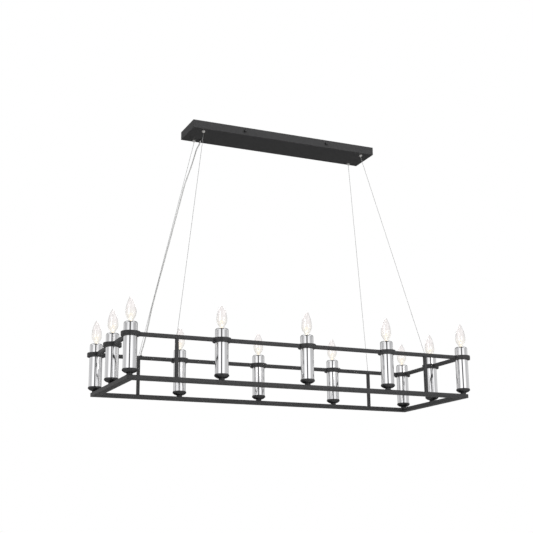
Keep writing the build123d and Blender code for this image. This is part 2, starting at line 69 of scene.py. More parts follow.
# ---- Sizes that only the looks need ----
RAIL_ROUND = 1.3 * MM          # corner radius of the drawn tubes
RAIL_ROUND_STEPS = 4
RING_ROUND = 1.0 * MM
RING_CLEARANCE = 0.25 * MM     # between a ring and its tube
TURN_STEPS = 96                # facets round a turned part
SMALL_TURN_STEPS = 48
TUBE_RIM_ROUND = 5.5 * MM      # the tube's mouth is drawn in
TUBE_RIM_FOLD = 0.6 * MM
TUBE_WALL = 1.2 * MM
POST_SIZE = 10.6 * MM
WELD_R = 0.8 * MM              # radius of the bead round a welded end
STEM_R = 4.8 * MM
STEM_BORE_R = 3.2 * MM
STEM_HOLE_R = 4.9 * MM         # the stem's hole in a neck and a dish
STEM_THREAD_PITCH = 1.8 * MM
STEM_THREAD_DEPTH = 0.35 * MM
NECK_R = 10.0 * MM
DISH_FOOT_R = 11.0 * MM
DISH_RIM_HEIGHT = 8.6 * MM     # of the widest place, over the dish's foot
DISH_LIP_R = 23.2 * MM
DISH_SEAT_DEPTH = 2.0 * MM
SOCKET_R = 9.8 * MM
SOCKET_FOOT_R = 6.6 * MM
SOCKET_FOOT_HEIGHT = 4.7 * MM
SOCKET_BORE_R = 6.25 * MM
SOCKET_BORE_DEPTH = 16.8 * MM
GRIP_R = 6.0 * MM
GRIP_BARREL_R = 5.0 * MM
GRIP_BARREL_TOP = -14.0 * MM
GRIP_MOUTH_R = 3.3 * MM        # the opening that the release sleeve slides in
GRIP_MOUTH_DEPTH = 2.0 * MM
GRIP_BORE_R = 1.2 * MM

# ---- Angles in degrees past which an edge stays sharp ----
SHARP_TURNED = 35
SHARP_BAR = 40
SHARP_PLATED = 50
SHARP_WIRE = 60
SHARP_THREAD = 80

# ---- Sizes of the pieces, read from the frame ----


def middle(node):
    """The middle of a node's box."""
    low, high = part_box(node)
    return (low + high) / 2


def foot(light):
    """Where a light's axis stands, at the height of the frame's origin."""
    place = middle("candle_tube_" + light)
    return Vector((place.x, place.y, 0))


tube_low, tube_high = (corner.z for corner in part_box("candle_tube_" + LIGHTS[0]))
tube_r = (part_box("candle_tube_" + LIGHTS[0])[1].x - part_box("candle_tube_" + LIGHTS[0])[0].x) / 2
rail_low, rail_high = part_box("lower_rail_front")
rail_width = rail_high.y - rail_low.y
half_length = (rail_high.x - rail_low.x - rail_width) / 2
half_width = -(rail_high.y + rail_low.y) / 2
upper_low, upper_high = (corner.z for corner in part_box("upper_rail_front"))
ring_low, ring_high = (corner.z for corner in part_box("rings"))
ring_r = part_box("rings")[1].x - half_length
post_low, post_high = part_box("posts")
post_x = post_high.x - POST_SIZE / 2
dish_low, dish_high = (corner.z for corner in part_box("dishes"))
dish_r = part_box("dishes")[1].x - half_length
socket_low, socket_high = (corner.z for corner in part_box("sockets"))
stem_low, stem_high = (corner.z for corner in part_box("stems"))


# ---- The bulb ----
GLASS_FOOT = socket_high + 3.5 * MM
GLASS_TAIL = 4.0 * MM          # of the glass, inside the cap
GLASS_R = 17.6 * MM
GLASS_NECK_R = 5.2 * MM
GLASS_WIDE = 37.0 * MM         # height of the widest place over the foot
GLASS_BELLY_R = 28.4 * MM
GLASS_TIP_R = 6.0 * MM
GLASS_LENGTH = 91.2 * MM
GLASS_WALL = 0.8 * MM
CAP_R = 5.95 * MM
CAP_INNER_R = 5.32 * MM
CAP_LENGTH = 15.5 * MM
CAP_THREADS = 6
CAP_THREAD_PITCH = 1.9 * MM
CAP_THREAD_ROUND = 0.45 * MM
PRESS_HEIGHT = 12.0 * MM       # of the place that pinches the leads, over the foot
MOUNT_R = 3.8 * MM
PRESS_R = 1.8 * MM
FILAMENT_HEIGHT = 34.0 * MM
FILAMENT_SPAN = 9.0 * MM
FILAMENT_SAG = 1.5 * MM
LEAD_WIRE_R = 0.25 * MM
LEAD_WIRE_FROM_AXIS = 0.9 * MM
COIL_R = 0.42 * MM
COIL_WIRE_R = 0.11 * MM
COIL_TURNS = 16
COIL_STEPS = 10


# ------------------------------------------------------------------ shapes

def new_piece(name, mesh, finish, body=FIXTURE, nodes=(), smooth=None):
    """A finished mesh as a piece of the object, on its body and in place of its nodes."""
    mesh.name = name
    piece = bpy.data.objects.new(name, mesh)
    bpy.context.scene.collection.objects.link(piece)
    if finish is not None:
        mesh.materials.clear()
        mesh.materials.append(finish)
    if smooth is not None:
        mesh.shade_smooth()
        mesh.set_sharp_from_angle(angle=math.radians(smooth))
    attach(piece, body)
    if nodes:
        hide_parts(*nodes)
    return piece


def mesh_from(builder):
    """The builder's bmesh as a mesh, its faces turned outwards."""
    bm = bmesh.new()
    builder(bm)
    bmesh.ops.remove_doubles(bm, verts=bm.verts, dist=1e-7)
    bmesh.ops.recalc_face_normals(bm, faces=bm.faces)
    mesh = bpy.data.meshes.new("part")
    bm.to_mesh(mesh)
    bm.free()
    return mesh


def arc(centre_r, centre_z, radius, start, end, steps):
    """Points of an arc in a half profile; angles in degrees from the outward direction."""
    points = []
    for step in range(steps + 1):
        angle = math.radians(start + (end - start) * step / steps)
        points.append((centre_r + radius * math.cos(angle), centre_z + radius * math.sin(angle)))
    return points


def bowed(start, end, sag, steps):
    """Points of a bowed line between two places of a half profile."""
    run = end[0] - start[0]
    rise = end[1] - start[1]
    chord = math.hypot(run, rise)
    points = []
    for step in range(steps + 1):
        share = step / steps
        out = 4 * sag * share * (1 - share)
        points.append((start[0] + run * share + out * rise / chord,
                       start[1] + rise * share - out * run / chord))
    return points


def turned(profile, steps=TURN_STEPS, closed=True):
    """A turned part from its half profile: (radius, height) pairs, all the way round."""

    def build(bm):
        rings = []
        for radius, height in profile:
            if radius < 1e-7:
                rings.append([bm.verts.new((0, 0, height))] * steps)
                continue
            ring = []
            for step in range(steps):
                angle = 2 * math.pi * step / steps
                ring.append(bm.verts.new((radius * math.cos(angle), radius * math.sin(angle), height)))
            rings.append(ring)
        pairs = list(zip(rings, rings[1:]))
        if closed:
            pairs.append((rings[-1], rings[0]))
        for lower, upper in pairs:
            for step in range(steps):
                after = (step + 1) % steps
                corners = [lower[step], lower[after], upper[after], upper[step]]
                face = list(dict.fromkeys(corners))
                if len(face) > 2:
                    bm.faces.new(face)

    return mesh_from(build)


def rounded_square(width, height, radius, steps=RAIL_ROUND_STEPS):
    """Points round a tube's section with rounded corners, about its middle."""
    points = []
    for quarter, (side_x, side_y) in enumerate(((1, 1), (-1, 1), (-1, -1), (1, -1))):
        centre_x = side_x * (width / 2 - radius)
        centre_y = side_y * (height / 2 - radius)
        for step in range(steps + 1):
            angle = math.radians(90 * (quarter + step / steps))
            points.append((centre_x + radius * math.cos(angle), centre_y + radius * math.sin(angle)))
    return points


def bar(section, start_of, end_of, place):
    """A drawn bar: each point of its section runs from start_of to end_of."""

    def build(bm):
        starts = [bm.verts.new(place(start_of(across), across, up)) for across, up in section]
        ends = [bm.verts.new(place(end_of(across), across, up)) for across, up in section]
        count = len(section)
        for step in range(count):
            after = (step + 1) % count
            bm.faces.new((starts[step], starts[after], ends[after], ends[step]))
        bm.faces.new(starts)
        bm.faces.new(ends)

    return mesh_from(build)


def joined(meshes):
    """Several meshes as one."""
    bm = bmesh.new()
    for mesh in meshes:
        bm.from_mesh(mesh)
    whole = bpy.data.meshes.new("part")
    bm.to_mesh(whole)
    bm.free()
    return whole


# ------------------------------------------------------------------ node trees

def feed(tree, sockets, values):
    """Links each named input to another socket, or writes a plain value there."""
    for name, value in values.items():
        if isinstance(value, bpy.types.NodeSocket):
            tree.links.new(value, sockets[name])
        else:
            sockets[name].default_value = value


def add_node(tree, kind, inputs, **settings):
    """A node with its settings and inputs."""
    node = tree.nodes.new(kind)
    for name, value in settings.items():
        setattr(node, name, value)
    feed(tree, node.inputs, inputs)
    return node


def calculate(tree, operation, *values):
    """One step of arithmetic in a node tree, on sockets or numbers."""
    return add_node(tree, "ShaderNodeMath", dict(enumerate(values)), operation=operation).outputs[0]


def scaled(tree, vector, factor):
    """A vector or colour times a number."""
    return add_node(tree, "ShaderNodeVectorMath", {0: vector, "Scale": factor}, operation="SCALE").outputs[0]


def in_range(tree, value, low, high, start=0.0, end=1.0):
    """A value carried from the range low to high into the range start to end."""
    return add_node(tree, "ShaderNodeMapRange", {"Value": value, "From Min": low, "From Max": high,
                                                 "To Min": start, "To Max": end}).outputs["Result"]


def ramp_of(tree, value, stops, interpolation="LINEAR"):
    """The colour that belongs to a value from 0 to 1, between stops of (value, colour)."""
    node = add_node(tree, "ShaderNodeValToRGB", {"Fac": value})
    ramp = node.color_ramp
    ramp.interpolation = interpolation
    while len(ramp.elements) < len(stops):
        ramp.elements.new(1.0)
    for element, (place, colour) in zip(ramp.elements, stops):
        element.position = place
        element.color = (*colour, 1)
    return node.outputs["Color"]


def place_along(tree, axis):
    """Where a point of a piece lies along an axis of the frame."""
    place = tree.nodes.new("ShaderNodeTexCoord")
    return add_node(tree, "ShaderNodeSeparateXYZ", {0: place.outputs["Object"]}).outputs[axis]


def mixed(tree, share, first, second):
    """Two shaders mixed by the second's share."""
    return add_node(tree, "ShaderNodeMixShader", {"Fac": share, 1: first, 2: second}).outputs[0]


def new_tree(name, kind, inputs, outputs):
    """An empty node tree with its named inputs and outputs."""
    tree = bpy.data.node_groups.new(name, kind)
    for direction, sockets in (("INPUT", inputs), ("OUTPUT", outputs)):
        for label, value_kind in sockets.items():
            tree.interface.new_socket(label, in_out=direction, socket_type="NodeSocket" + value_kind)
    return tree, tree.nodes.new("NodeGroupInput").outputs, tree.nodes.new("NodeGroupOutput").inputs


def end_tree(tree, geometry, finish, result):
    """Ends a geometry tree with real copies in their finish."""
    real = add_node(tree, "GeometryNodeRealizeInstances", {"Geometry": geometry})
    dressed = add_node(tree, "GeometryNodeSetMaterial",
                       {"Geometry": real.outputs["Geometry"], "Material": finish})
    tree.links.new(dressed.outputs["Geometry"], result)


def copies_tree():
    """Geometry nodes: one part at each point, as plain mesh with its finish."""
    tree, given, result = new_tree(
        "part_at_each_light", "GeometryNodeTree",
        {"Places": "Geometry", "Part": "Object", "Finish": "Material"}, {"Parts": "Geometry"})
    part = add_node(tree, "GeometryNodeObjectInfo", {"Object": given["Part"]})
    spread = add_node(tree, "GeometryNodeInstanceOnPoints",
                      {"Points": given["Places"], "Instance": part.outputs["Geometry"]})
    end_tree(tree, spread.outputs["Instances"], given["Finish"], result["Parts"])
    return tree


def strands_tree(strand_count):
    """Geometry nodes: a wire rope of twisted strands round a core, along a curve."""
    tree, given, result = new_tree(
        "rope_strands", "GeometryNodeTree",
        {"Line": "Geometry", "Step": "Float", "Strand radius": "Float", "Lay radius": "Float",
         "Lay length": "Float", "Finish": "Material"}, {"Rope": "Geometry"})
    along = add_node(tree, "GeometryNodeResampleCurve", {"Curve": given["Line"], "Length": given["Step"]},
                     mode="LENGTH").outputs["Curve"]
    section = add_node(tree, "GeometryNodeCurvePrimitiveCircle",
                       {"Resolution": STRAND_SIDES, "Radius": given["Strand radius"]})
    run = tree.nodes.new("GeometryNodeSplineParameter")
    turns = calculate(tree, "DIVIDE", run.outputs["Length"], given["Lay length"])
    angle = calculate(tree, "MULTIPLY", turns, 2 * math.pi)
    across = tree.nodes.new("GeometryNodeInputNormal")
    ahead = tree.nodes.new("GeometryNodeInputTangent")
    reach = scaled(tree, across.outputs["Normal"], given["Lay radius"])
    gather = tree.nodes.new("GeometryNodeJoinGeometry")
    for strand in range(strand_count):
        phase = calculate(tree, "ADD", angle, 2 * math.pi * strand / strand_count)
        turn = add_node(tree, "ShaderNodeVectorRotate",
                        {"Vector": reach, "Axis": ahead.outputs["Tangent"], "Angle": phase},
                        rotation_type="AXIS_ANGLE")
        shift = add_node(tree, "GeometryNodeSetPosition",
                         {"Geometry": along, "Offset": turn.outputs["Vector"]})
        tree.links.new(shift.outputs["Geometry"], gather.inputs["Geometry"])
    tree.links.new(along, gather.inputs["Geometry"])
    skin = add_node(tree, "GeometryNodeCurveToMesh", {"Fill Caps": True, "Curve": gather.outputs["Geometry"],
                                                      "Profile Curve": section.outputs["Curve"]})
    end_tree(tree, skin.outputs["Mesh"], given["Finish"], result["Rope"])
    return tree


def mesh_shown(host):
    """The mesh that an object shows with its modifiers."""
    objects = bpy.context.scene.collection.objects
    objects.link(host)
    bpy.context.view_layer.update()
    mesh = bpy.data.meshes.new_from_object(host.evaluated_get(bpy.context.evaluated_depsgraph_get()))
    objects.unlink(host)
    return mesh


def made_by(tree, host, **values):
    """The mesh that a node tree makes of a host object, which is then removed."""
    modifier = host.modifiers.new("make", "NODES")
    modifier.node_group = tree
    names = {item.name: item.identifier for item in tree.interface.items_tree if item.in_out == "INPUT"}
    for name, value in values.items():
        modifier[names[name.replace("_", " ")]] = value
    mesh = mesh_shown(host)
    bpy.data.objects.remove(host)
    return mesh


def at_each_light(part_mesh, finish, tree):
    """A group of like parts, one at each light."""
    part = bpy.data.objects.new("part", part_mesh)
    places = bpy.data.meshes.new("places")
    places.from_pydata([foot(light) for light in LIGHTS], [], [])
    host = bpy.data.objects.new("places", places)
    mesh = made_by(tree, host, Part=part, Finish=finish)
    bpy.data.objects.remove(part)
    return mesh


# ------------------------------------------------------------------ finishes

TONE_COARSER = 12              # the colour varies this many times more slowly than the gloss
GLASS_TINTS = [(0.12, (0.985, 0.97, 0.93)), (0.60, (0.955, 0.935, 0.93))]
LEADS_ACROSS = (0.030, 0.058)  # from lead to lead, along Y
LEAD_TINTS = [(0.0, (0.75, 0.73, 0.68)), (0.34, (0.03, 0.28, 0.08)), (0.66, (0.02, 0.02, 0.02))]


def grain_group():
    """A fine uneven surface: a value that wanders between two limits, and its height."""
    group, given, result = new_tree(
        "uneven_surface", "ShaderNodeTree",
        {"Scale": "Float", "Low": "Float", "High": "Float", "Stretch": "Vector"},
        {"Value": "Float", "Height": "Float"})
    place = group.nodes.new("ShaderNodeTexCoord")
    stretched = add_node(group, "ShaderNodeVectorMath", {0: place.outputs["Object"], 1: given["Stretch"]},
                         operation="MULTIPLY")
    noise = add_node(group, "ShaderNodeTexNoise",
                     {"Vector": stretched.outputs[0], "Scale": given["Scale"], "Detail": 3}).outputs["Fac"]
    value = in_range(group, noise, 0.3, 0.7, given["Low"], given["High"])
    feed(group, result, {"Value": value, "Height": noise})
    return group


def uneven(tree, grain, limits, stretch=(1, 1, 1)):
    """The shared uneven surface with a material's own values."""
    low, high = limits
    return add_node(tree, "ShaderNodeGroup", {"Scale": grain, "Low": low, "High": high, "Stretch": stretch},
                    node_tree=UNEVEN).outputs


def new_material(name):
    """A material, its tree and the inputs of its surface shader."""
    material = bpy.data.materials.new(name)
    material.use_nodes = True
    return material, material.node_tree, material.node_tree.nodes["Principled BSDF"].inputs


def finish_of(name, colour, metallic=0.0, rough=(0.3, 0.4), grain=400.0, stretch=(1, 1, 1), bump=0.1,
              bump_depth=0.00002, shade=(0.9, 1.08), specular=0.5):
    """A finish with uneven colour, gloss and relief from the shared group."""
    material, tree, surface = new_material(name)
    gloss = uneven(tree, grain, rough, stretch)
    relief = add_node(tree, "ShaderNodeBump",
                      {"Strength": bump, "Distance": bump_depth, "Height": gloss["Height"]})
    tone = uneven(tree, grain / TONE_COARSER, shade)
    feed(tree, surface, {"Metallic": metallic, "Specular IOR Level": specular, "Roughness": gloss["Value"],
                         "Normal": relief.outputs["Normal"],
                         "Base Color": scaled(tree, colour, tone["Value"])})
    return material


def clear_glass():
    """Thin blown glass, clear, a little warm low down, with a trace of unevenness in its gloss, and painted
    shade that darkens its colour towards the edges it turns away from the eye.
    """
    material, tree, surface = new_material("blown_glass")
    up = in_range(tree, place_along(tree, "Z"), GLASS_FOOT, GLASS_FOOT + GLASS_LENGTH)
    edge = add_node(tree, "ShaderNodeLayerWeight", {"Blend": 0.5})
    # painted shade: the colour darkens to 0.85 where the glass turns away from the eye, standing in for its
    # darker rims
    painted_edge_shade = in_range(tree, edge.outputs["Facing"], 0.10, 0.70, 1.0, 0.85)
    feed(tree, surface, {"Transmission Weight": 1.0, "IOR": 1.46, "Specular IOR Level": 0.25,
                         "Roughness": uneven(tree, 60, (0.0, 0.015))["Value"],
                         "Base Color": scaled(tree, ramp_of(tree, up, GLASS_TINTS), painted_edge_shade)})
    return material


def glowing_wire():
    """Tungsten wire with a faint warm glow."""
    wire = finish_of("tungsten", (0.45, 0.42, 0.38), metallic=1.0, rough=(0.35, 0.5), grain=900)
    surface = wire.node_tree.nodes["Principled BSDF"].inputs
    feed(wire.node_tree, surface, {"Emission Color": (1.0, 0.72, 0.36, 1), "Emission Strength": 1.5})
    return wire


def lead_colours():
    """Insulation in a colour for each lead, by its place across the bundle."""
    leads = finish_of("lead_insulation", (0.5, 0.5, 0.5), rough=(0.35, 0.45), grain=700)
    tree = leads.node_tree
    across = in_range(tree, place_along(tree, "Y"), *LEADS_ACROSS)
    surface = tree.nodes["Principled BSDF"].inputs
    feed(tree, surface, {"Base Color": ramp_of(tree, across, LEAD_TINTS, "CONSTANT")})
    return leads


UNEVEN = grain_group()
POWDER_COAT = finish_of("black_powder_coat", (0.024, 0.024, 0.025), rough=(0.42, 0.50), grain=900, bump=0.25,
                        bump_depth=0.00004, shade=(0.88, 1.12), specular=0.5)
CHROME = finish_of("polished_plate", (0.74, 0.74, 0.75), metallic=1.0, rough=(0.06, 0.085), grain=60,
                   stretch=(1, 1, 0.15), bump=0.01, bump_depth=0.000002, shade=(0.985, 1.015))
GLASS = clear_glass()
BULB_CAP = finish_of("nickel_cap", (0.62, 0.58, 0.50), metallic=1.0, rough=(0.22, 0.34), grain=600)
TUNGSTEN = glowing_wire()
ROPE_WIRE = finish_of("steel_wire", (0.56, 0.56, 0.56), metallic=1.0, rough=(0.34, 0.46), grain=2000)
NICKEL = finish_of("satin_nickel", (0.78, 0.77, 0.75), metallic=0.9, rough=(0.36, 0.46), grain=1500,
                   stretch=(1, 1, 8), bump=0.1)
ZINC = finish_of("zinc_plate", (0.60, 0.62, 0.65), metallic=0.6, rough=(0.28, 0.45), grain=140, bump=0.08)
GREEN_SCREW = finish_of("green_zinc", (0.05, 0.30, 0.10), metallic=0.6, rough=(0.3, 0.4), grain=900)
JACKET = finish_of("cord_jacket", (0.70, 0.70, 0.69), rough=(0.34, 0.44), grain=500, bump=0.15,
                   shade=(0.95, 1.04), specular=0.35)
NYLON = finish_of("black_nylon", (0.022, 0.022, 0.022), rough=(0.45, 0.55), grain=1200, bump=0.2)
LEADS = lead_colours()
PHENOLIC = finish_of("black_phenolic", (0.016, 0.015, 0.014), rough=(0.3, 0.42), grain=500, bump=0.1)
STEM_STEEL = finish_of("stem_zinc", (0.55, 0.52, 0.42), metallic=1.0, rough=(0.3, 0.42), grain=600)


# ------------------------------------------------------------------ camera

PHOTO_WIDTH = 533
SENSOR = 36.0
FOCAL_PX = 1069.28
CAMERA_PLACE = Vector((-1.57143, -3.41883, -1.48716))
CAMERA_YAW = 0.41735
CAMERA_PITCH = 0.25898
CAMERA_ROLL = -0.00878
CAMERA_REACH = 60


def add_camera():
    """The photograph's viewpoint: below the ceiling, at the front left, looking up."""
    ahead = Vector((math.sin(CAMERA_YAW) * math.cos(CAMERA_PITCH),
                    math.cos(CAMERA_YAW) * math.cos(CAMERA_PITCH),
                    math.sin(CAMERA_PITCH)))
    right = Vector((math.cos(CAMERA_YAW), -math.sin(CAMERA_YAW), 0))
    up = right.cross(ahead)
    rolled_right = right * math.cos(CAMERA_ROLL) + up * math.sin(CAMERA_ROLL)
    rolled_up = up * math.cos(CAMERA_ROLL) - right * math.sin(CAMERA_ROLL)
    data = bpy.data.cameras.new("camera")
    data.sensor_width = SENSOR
    data.lens = FOCAL_PX / PHOTO_WIDTH * SENSOR
    data.clip_end = CAMERA_REACH
    camera = bpy.data.objects.new("camera", data)
    turn = Matrix((rolled_right, rolled_up, -ahead)).transposed().to_4x4()
    camera.matrix_world = Matrix.Translation(CAMERA_PLACE) @ turn
    bpy.context.scene.collection.objects.link(camera)
    bpy.context.scene.camera = camera


# ------------------------------------------------------------------ cables and cord

def route_curve(name, points, bevel=0.0):
    """A smooth curve that the points of a route pull on."""
    data = bpy.data.curves.new(name, "CURVE")
    data.dimensions = "3D"
    data.resolution_u = 12
    spline = data.splines.new("NURBS")
    spline.points.add(len(points) - 1)
    for control, point in zip(spline.points, points):
        control.co = (point[0] * MM, point[1] * MM, point[2] * MM, 1)
    spline.order_u = 3
    spline.use_endpoint_u = True
    data.bevel_depth = bevel
    data.bevel_resolution = 5
    data.use_fill_caps = True
    return bpy.data.objects.new(name, data)


def line_of(curve):
    """The points along a route's smooth line."""
    mesh = mesh_shown(curve)
    points = [vertex.co.copy() for vertex in mesh.vertices]
    bpy.data.meshes.remove(mesh)
    return points


# The hung cables, in millimetres: up in the canopy, through the grip, and down to the stop.
GRIP = (320.0, 50.0)
HOLE = (465.0, 207.5)
CABLE_LEVELS = (-8.0, -34.0, -39.9, -816.6, -822.2)
CABLE_NEAR = 0.013             # share of the taut run from its end to a guiding point
ROPE_R = 0.8 * MM
ROPE_STEP = 1.2 * MM           # between two places on a strand
ROPE_LAY = 10.0 * MM           # length in which a strand goes once round
STRANDS = 6
STRAND_SIDES = 6

# The power cord, in millimetres, from the canopy to the back left upper rail.
CORD_ROUTE = [
    (-298.0, 44.0, -22.0),
    (-298.0, 44.0, -41.0),
    (-308.5, 51.0, -60.0),
    (-313.0, 57.5, -83.0),
    (-318.5, 63.5, -107.0),
    (-327.0, 71.0, -141.0),
    (-341.5, 82.0, -189.0),
    (-351.0, 92.0, -238.5),
    (-417.5, 161.0, -580.0),
    (-430.0, 174.0, -645.0),
    (-439.0, 187.5, -712.0),
    (-446.0, 197.5, -760.0),
    (-452.0, 203.5, -788.0),
    (-456.4, 207.5, -805.0),
    (-456.4, 207.5, -823.0),
]
CORD_R = 2.25 * MM


def cable_route(x_side, y_side):
    """A cable's points: straight through its grip, taut to the rail and into its stop."""
    grip = Vector((x_side * GRIP[0], y_side * GRIP[1], 0))
    hole = Vector((x_side * HOLE[0], y_side * HOLE[1], 0))
    tail, inside, mouth, rail, stop = CABLE_LEVELS
    top = Vector((grip.x, grip.y, mouth))
    bottom = Vector((hole.x, hole.y, rail))
    return [
        Vector((grip.x, grip.y, tail)),
        Vector((grip.x, grip.y, inside)),
        top,
        top.lerp(bottom, CABLE_NEAR),
        bottom.lerp(top, CABLE_NEAR / 2),
        bottom,
        Vector((hole.x, hole.y, stop)),
    ]


def add_cables():
    """Four stranded steel cables."""
    tree = strands_tree(STRANDS)
    strand_r = ROPE_R / 3
    for name in CORNERS:
        x_side = -1 if name.endswith("left") else 1
        y_side = -1 if name.startswith("front") else 1
        curve = route_curve("line", cable_route(x_side, y_side))
        line = line_of(curve)
        mesh = made_by(tree, curve, Step=ROPE_STEP, Strand_radius=strand_r, Lay_radius=2 * strand_r,
                       Lay_length=ROPE_LAY, Finish=ROPE_WIRE)
        cable = new_piece("cable_" + name, mesh, None, nodes=["hanging_cable_" + name],
                          smooth=SHARP_WIRE)


def add_power_cord():
    """The cord that hangs beside the back left cable."""
    line = line_of(route_curve("line", CORD_ROUTE))
    cord = route_curve("power_cord_jacket", CORD_ROUTE, bevel=CORD_R)
    bpy.context.scene.collection.objects.link(cord)
    cord.data.materials.append(JACKET)
    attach(cord, FIXTURE)
    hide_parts("power_cord")


# ------------------------------------------------------------------ the frame's bars

def lower_rail(name, half_run, offset, turn):
    """A side of the lower tier, mitred at both ends."""
    height = rail_high.z - rail_low.z
    middle_z = (rail_high.z + rail_low.z) / 2
    section = rounded_square(rail_width, height, RAIL_ROUND)
    rotation = Matrix.Rotation(turn, 3, "Z")

    def place(along, across, up):
        return rotation @ Vector((along, -offset - across, middle_z + up))

    mesh = bar(section, lambda across: -half_run - across, lambda across: half_run + across, place)
    new_piece("rail_tube_" + name, mesh, POWDER_COAT, nodes=["lower_rail_" + name],
              smooth=SHARP_BAR)


def upper_rail(name, places, along_x, beads):
    """Square tubes between the rings of one side, each end shaped to its ring and welded to it."""
    size = upper_high - upper_low
    middle_z = (upper_high + upper_low) / 2
    section = rounded_square(size, size, RAIL_ROUND)
    spans = []
    for before, after in zip(places, places[1:]):
        if along_x:
            first, last, line = before.x, after.x, before.y
        else:
            first, last, line = before.y, after.y, before.x

        def place(along, across, up):
            level = middle_z + up
            return Vector((along, line + across, level)) if along_x else Vector((line + across, along, level))

        def reach(across):
            return math.sqrt(ring_r**2 - across**2)

        def start_of(across):
            return first + reach(across)

        def end_of(across):
            return last - reach(across)

        spans.append(bar(section, start_of, end_of, place))
        for end in (start_of, end_of):
            round_end = [place(end(across), across, up) for across, up in section]
            beads.append(wire_mesh(round_end, WELD_R, ring=True))
    new_piece("rail_bars_" + name, joined(spans), POWDER_COAT,
              nodes=["upper_rail_" + name], smooth=SHARP_BAR)


def add_rails():
    """Both tiers and the posts between them."""
    lower_rail("front", half_length, half_width, 0)
    lower_rail("back", half_length, half_width, math.pi)
    lower_rail("right", half_width, half_length, math.pi / 2)
    lower_rail("left", half_width, half_length, -math.pi / 2)
    front = [foot(light) for light in LIGHTS if light.startswith("front")]
    back = [foot(light) for light in LIGHTS if light.startswith("back")]
    beads = []
    upper_rail("front", front, True, beads)
    upper_rail("back", back, True, beads)
    upper_rail("left", [front[0], foot("left"), back[0]], False, beads)
    upper_rail("right", [front[-1], foot("right"), back[-1]], False, beads)
    section = rounded_square(POST_SIZE, POST_SIZE, RAIL_ROUND)
    posts = []
    for x_side in (-1, 1):
        for y_side in (-1, 1):
            centre = Vector((x_side * post_x, y_side * half_width, 0))

            def place(along, across, up):
                return centre + Vector((across, up, along))

            posts.append(bar(section, lambda across: post_low.z, lambda across: post_high.z, place))
            for level in (post_low.z, post_high.z):
                round_end = [place(level, across, up) for across, up in section]
                beads.append(wire_mesh(round_end, WELD_R, ring=True))
    new_piece("post_bars", joined(posts), POWDER_COAT, nodes=["posts"], smooth=SHARP_BAR)
    new_piece("weld_beads", joined(beads), POWDER_COAT, smooth=SHARP_WIRE)


# ------------------------------------------------------------------ the lights

def ring_profile():
    """Collar round the tube, its edges eased."""
    ease = RING_ROUND
    small = ease / 2
    inner = tube_r + RING_CLEARANCE
    points = arc(ring_r - ease, ring_high - ease, ease, 0, 90, 5)
    points += arc(inner + small, ring_high - small, small, 90, 180, 4)
    points += arc(inner + small, ring_low + small, small, 180, 270, 4)
    points += arc(ring_r - ease, ring_low + ease, ease, 270, 360, 5)
    return points


def dish_profile():
    """Lens-shaped dish with a seat for the tube."""
    rim_r = dish_r - 0.3 * MM
    rim_z = dish_low + DISH_RIM_HEIGHT
    seat_r = tube_r + 0.2 * MM
    seat_z = dish_high - DISH_SEAT_DEPTH
    points = bowed((DISH_FOOT_R, dish_low), (rim_r, rim_z - 0.4 * MM), 1.6 * MM, 10)
    points += bowed((rim_r, rim_z + 0.5 * MM), (DISH_LIP_R, dish_high - 0.4 * MM), 0.4 * MM, 5)
    points += [(DISH_LIP_R - 0.3 * MM, dish_high), (seat_r, dish_high), (seat_r, seat_z)]
    points += [(STEM_HOLE_R, seat_z), (STEM_HOLE_R, dish_low)]
    return points


def neck_profile():
    """Round spacer under the dish, with eased edges."""
    ease = 0.6 * MM
    low, high = rail_high.z, dish_low
    points = arc(NECK_R - ease, low + ease, ease, -90, 0, 4)
    points += arc(NECK_R - ease, high - ease, ease, 0, 90, 4)
    points += [(STEM_HOLE_R, high), (STEM_HOLE_R, low)]
    return points


def stem_profile():
    """Threaded pipe that holds the socket, the dish and the neck together."""
    root_r = STEM_R - STEM_THREAD_DEPTH
    height = stem_high - stem_low
    turns = int(height / STEM_THREAD_PITCH)
    points = [(STEM_BORE_R, stem_high), (STEM_BORE_R, stem_low)]
    for turn in range(turns):
        z = stem_low + height * turn / turns
        points += [(root_r, z + 0.1 * MM), (STEM_R, z + STEM_THREAD_PITCH / 2)]
    points.append((root_r, stem_high))
    return points


def socket_profile():
    """Moulded socket with a narrower foot and an eased mouth."""
    ease = 0.7 * MM
    small = ease / 2
    waist = socket_low + SOCKET_FOOT_HEIGHT
    bore_floor = socket_high - SOCKET_BORE_DEPTH
    points = [(STEM_BORE_R, socket_low), (SOCKET_FOOT_R, socket_low)]
    points += [(SOCKET_FOOT_R, waist), (SOCKET_R - ease, waist)]
    points += arc(SOCKET_R - ease, waist + ease, ease, -90, 0, 4)
    points += arc(SOCKET_R - ease, socket_high - ease, ease, 0, 90, 4)
    points += [(SOCKET_BORE_R + small, socket_high), (SOCKET_BORE_R, socket_high - small)]
    points += [(SOCKET_BORE_R, bore_floor), (STEM_BORE_R, bore_floor)]
    return points


def tube_profile():
    """Plated tube with a softly rounded rim."""
    inner = tube_r - TUBE_WALL
    roll = TUBE_RIM_ROUND
    lip = tube_r - roll
    points = arc(lip, tube_high - roll, roll, 0, 90, 8)
    points += arc(lip - TUBE_RIM_FOLD, tube_high - TUBE_RIM_FOLD, TUBE_RIM_FOLD, 90, 270, 8)
    points += arc(lip, tube_high - roll, roll - TUBE_WALL, 90, 0, 5)
    points += [(inner, tube_low), (tube_r, tube_low)]
    return points


